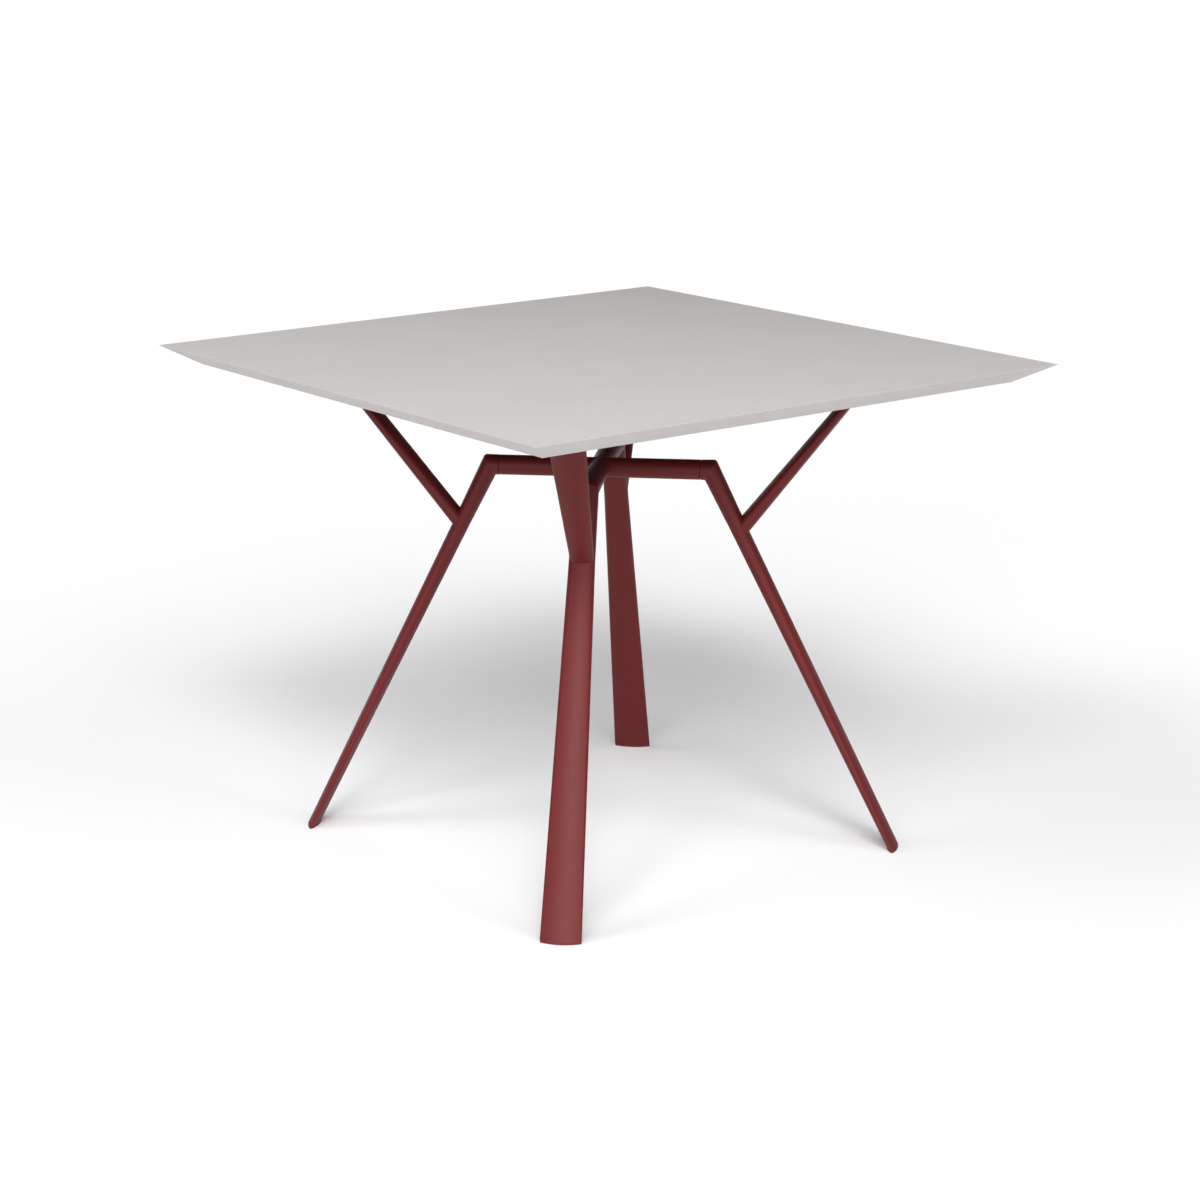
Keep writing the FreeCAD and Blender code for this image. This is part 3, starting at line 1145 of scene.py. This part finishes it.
    def build_leg(self) -> Object:
        """Leg casting: tenon, stub, elbow, leg and branch with its pad, in one piece.

        Returns:
            The leg along +X as a closed mesh object.
        """
        leg = self.build_limb()
        for build_part in (self.build_branch, self.build_pad, self.build_tenon):
            work(leg, build_part(), Cut.JOIN)
        pad = self.pad_size[2]
        drill_pair(leg, self.screw_hole, self.tip_level - 2 * pad, 3 * pad)
        depth = self.tongue_length + self.tongue_end_gap
        work(leg, self.tongue_block(self.tongue_thickness, depth, self.tongue_clearance), Cut.REMOVE)
        clean(leg)
        return leg

    def build_glide(self) -> Object:
        """Oval pad under the leg's lower end, with a tongue up the leg.

        Returns:
            The glide at +X as a closed mesh object.
        """
        top, rim, wall = self.glide_thickness, self.glide_chamfer, self.glide_inset
        reach = self.leg_axis(top).x
        ovals = [
            replace(self.leg_oval(top, trim), centre=Vector((reach, 0, level)))
            for level, trim in ((top, wall + rim), (top - rim, wall), (rim, wall), (0.0, wall + rim))]
        glide = round_member("glide", ovals, (0, 0, 0))
        work(glide, self.tongue_block(top / 2, self.tongue_length, 0.0), Cut.JOIN)
        clean(glide)
        return glide

    def build(self, coat: Material, skin: Material) -> None:
        """Build the cross, legs and glides and dress them.

        Args:
            coat: Finish of the cross and legs.
            skin: Finish of the glides.
        """
        hand_over(self.build_cross(), coat, "hub_cross")
        leg, glide = self.build_leg(), self.build_glide()
        for corner in Corner:
            hand_over_copy(leg, corner, "leg_casting_", coat, "leg_")
            hand_over_copy(glide, corner, "glide_", skin, "foot_glide_")
        use_up(leg, glide)


# Screws


@dataclass
class TopScrews:
    """Hexagon-head screws that hold the pads to the plates."""

    seat: float = 717.2 * MM
    radius: float = 3.0 * MM
    length: float = 13.0 * MM
    head_height: float = 4.0 * MM
    across_flats: float = 10.0 * MM
    face_share: float = 0.95
    chamfer_lean: float = math.radians(60)
    chamfer_sides: int = 64
    collar: float = 0.4 * MM
    collar_radius: float = 4.7 * MM
    collar_sides: int = 48
    shank_sides: int = 32
    pitch: float = 1.0 * MM
    thread_depth: float = 0.35 * MM

    @property
    def centre(self) -> Vector:
        """Point of the seat on the first screw's axis."""
        return Vector((FIXING_RADIUS, SCREW_SIDE, self.seat))

    def build_head(self) -> Object:
        """Hexagon with a chamfered face and a round bearing collar.

        Returns:
            The head as a closed mesh object.
        """
        low = self.centre - UP * self.head_height
        head = new_rod("screw", self.across_flats / math.sqrt(3), low, self.head_height - self.collar, 6)
        face = self.across_flats / 2 * self.face_share
        put_down()
        bpy.ops.mesh.primitive_cone_add(
            vertices=self.chamfer_sides, radius1=face, depth=self.head_height,
            radius2=face + self.head_height * math.tan(self.chamfer_lean),
            location=low + UP * (self.head_height / 2))
        work(head, started("chamfer"), Cut.KEEP)
        height = 2 * self.collar
        collar = new_rod("collar", self.collar_radius, self.centre - UP * height, height, self.collar_sides)
        work(head, collar, Cut.JOIN)
        return head

    def build_shank(self) -> Object:
        """Threaded shank up from the seat, ridge by ridge, with a chamfered tip.

        Returns:
            The shank as a closed mesh object.
        """
        low = self.centre - UP * self.collar
        shank = new_rod("shank", self.radius, low, self.collar * 2, self.shank_sides)
        root = 1 - self.thread_depth / self.radius
        level = self.collar
        with shaping(shank):
            pick(shank, Pick.FACES, lambda face: face.normal.z > PARALLEL)
            while level < self.length - self.pitch:
                for scale in (root, 1 / root):
                    pull_faces(self.pitch / 2, scale, self.centre)
                level += self.pitch
            pull_faces(self.length - level, root, self.centre)
        return shank

    def build(self, plating: Material) -> None:
        """Build all eight screws as one piece and dress it.

        Args:
            plating: Finish of the screws.
        """
        screw = self.build_head()
        work(screw, self.build_shank(), Cut.JOIN)
        clean(screw, angle=20)
        pair = (screw, copy_moved(screw, "second_screw", 0.0, shift=-2 * SCREW_SIDE))
        placed = [copy_moved(one, "screw_copy", corner.turn) for corner in Corner for one in pair]
        use_up(*pair)
        take_up(placed[0])
        for one in placed:
            one.select_set(True)
        bpy.ops.object.join()
        hand_over(rename(placed[0], "hex_screws"), plating, "top_screws")


# Studio


@dataclass(frozen=True)
class SoftLight:
    """Soft light from far away: its direction in degrees, how narrow it is and how strong."""

    azimuth: float
    elevation: float
    narrowness: float
    strength: float

    @property
    def toward(self) -> Triple:
        """Unit direction from the table to the light."""
        azimuth, elevation = math.radians(self.azimuth), math.radians(self.elevation)
        level = math.cos(elevation)
        return math.sin(azimuth) * level, -math.cos(azimuth) * level, math.sin(elevation)


@dataclass
class Studio:
    """White floor and backdrop, soft light from the front and a camera at the photograph's angle."""

    lens: float = 85.0
    sensor: float = 36.0
    eye: Triple = (-2.5436, -3.2560, 1.4825)
    aim: Triple = (0.0, 0.0, 0.375)
    floor_half: float = 80.0
    floor_white: float = 0.93
    surround: float = 0.045
    backdrop: float = 1.0
    lights: tuple[SoftLight, ...] = (
        SoftLight(azimuth=-64, elevation=42, narrowness=120, strength=11.3),
        SoftLight(azimuth=-40, elevation=47, narrowness=90, strength=6.3),
        SoftLight(azimuth=-32, elevation=42, narrowness=120, strength=20.6),
        SoftLight(azimuth=-40, elevation=30, narrowness=120, strength=10.3),
        SoftLight(azimuth=-16, elevation=30, narrowness=120, strength=7.1),
        SoftLight(azimuth=-110, elevation=38, narrowness=40, strength=6.0),
        SoftLight(azimuth=16, elevation=38, narrowness=40, strength=3.2),
        SoftLight(azimuth=-56, elevation=12, narrowness=40, strength=8.0),
        SoftLight(azimuth=-20, elevation=12, narrowness=40, strength=3.8),
        SoftLight(azimuth=16, elevation=12, narrowness=40, strength=3.5),
        SoftLight(azimuth=165, elevation=12, narrowness=40, strength=2.8),
    )

    def build_floor(self) -> None:
        """Wide white floor."""
        put_down()
        bpy.ops.mesh.primitive_plane_add(size=2 * self.floor_half)
        floor = started("studio_floor")
        with shaping(floor):
            pick_all()
            bpy.ops.mesh.subdivide(number_cuts=3)
        paint = bpy.data.materials.new("studio_white")
        paint.use_nodes = True
        white = self.floor_white
        feed(paint.node_tree, paint.node_tree.nodes["Principled BSDF"], {
            "Base Color": (white, white, white, 1), "Roughness": 1.0, "Specular IOR Level": 0.0})
        floor.data.materials.append(paint)

    def build_light(self) -> None:
        """Bank of soft lights in a dim surround, which the camera sees as a white backdrop."""
        scene = bpy.context.scene
        scene.view_settings.view_transform = "Standard"
        scene.world = bpy.data.worlds.new("studio_surround")
        scene.world.use_nodes = True
        tree = scene.world.node_tree
        look = add_node(tree, "TexCoord", {})["Generated"]
        bank = self.surround
        for light in self.lights:
            facing = add_node(tree, "VectorMath", {0: look, 1: light.toward}, operation="DOT_PRODUCT")
            front = reckon(tree, "MAXIMUM", facing["Value"], 0.0)
            lobe = reckon(tree, "POWER", front, light.narrowness)
            bank = reckon(tree, "MULTIPLY_ADD", lobe, light.strength, bank)
        seen = add_node(tree, "LightPath", {})["Is Camera Ray"]
        strength = add_node(tree, "Mix", {"Factor": seen, "A": bank, "B": self.backdrop})
        feed(tree, tree.nodes["Background"], {"Color": (1, 1, 1, 1), "Strength": strength["Result"]})

    def build_camera(self) -> None:
        """Camera at the photograph's viewing angle."""
        camera = bpy.data.cameras.new("camera")
        camera.lens = self.lens
        camera.sensor_width = self.sensor
        camera.clip_end = 4 * self.floor_half
        stand = bpy.data.objects.new("camera", camera)
        stand.location = self.eye
        stand.rotation_euler = (Vector(self.eye) - Vector(self.aim)).to_track_quat("Z", "Y").to_euler()
        bpy.context.scene.collection.objects.link(stand)
        bpy.context.scene.camera = stand

    def build(self) -> None:
        """Build the floor, the lights and the camera."""
        self.build_floor()
        self.build_light()
        self.build_camera()


def main() -> None:
    """Build the table piece by piece, then the studio round it."""
    effects = Effects()
    low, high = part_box("top_sheet")
    top = TableTop(height=high.z, side=high.x - low.x)
    top.build(TOP_COAT.material(effects))
    Frame().build(FRAME_COAT.material(effects), GLIDE_SKIN.material(effects))
    TopScrews().build(SCREW_SKIN.material(effects))
    Studio().build()
    put_down()


if __name__ == "__main__":
    main()
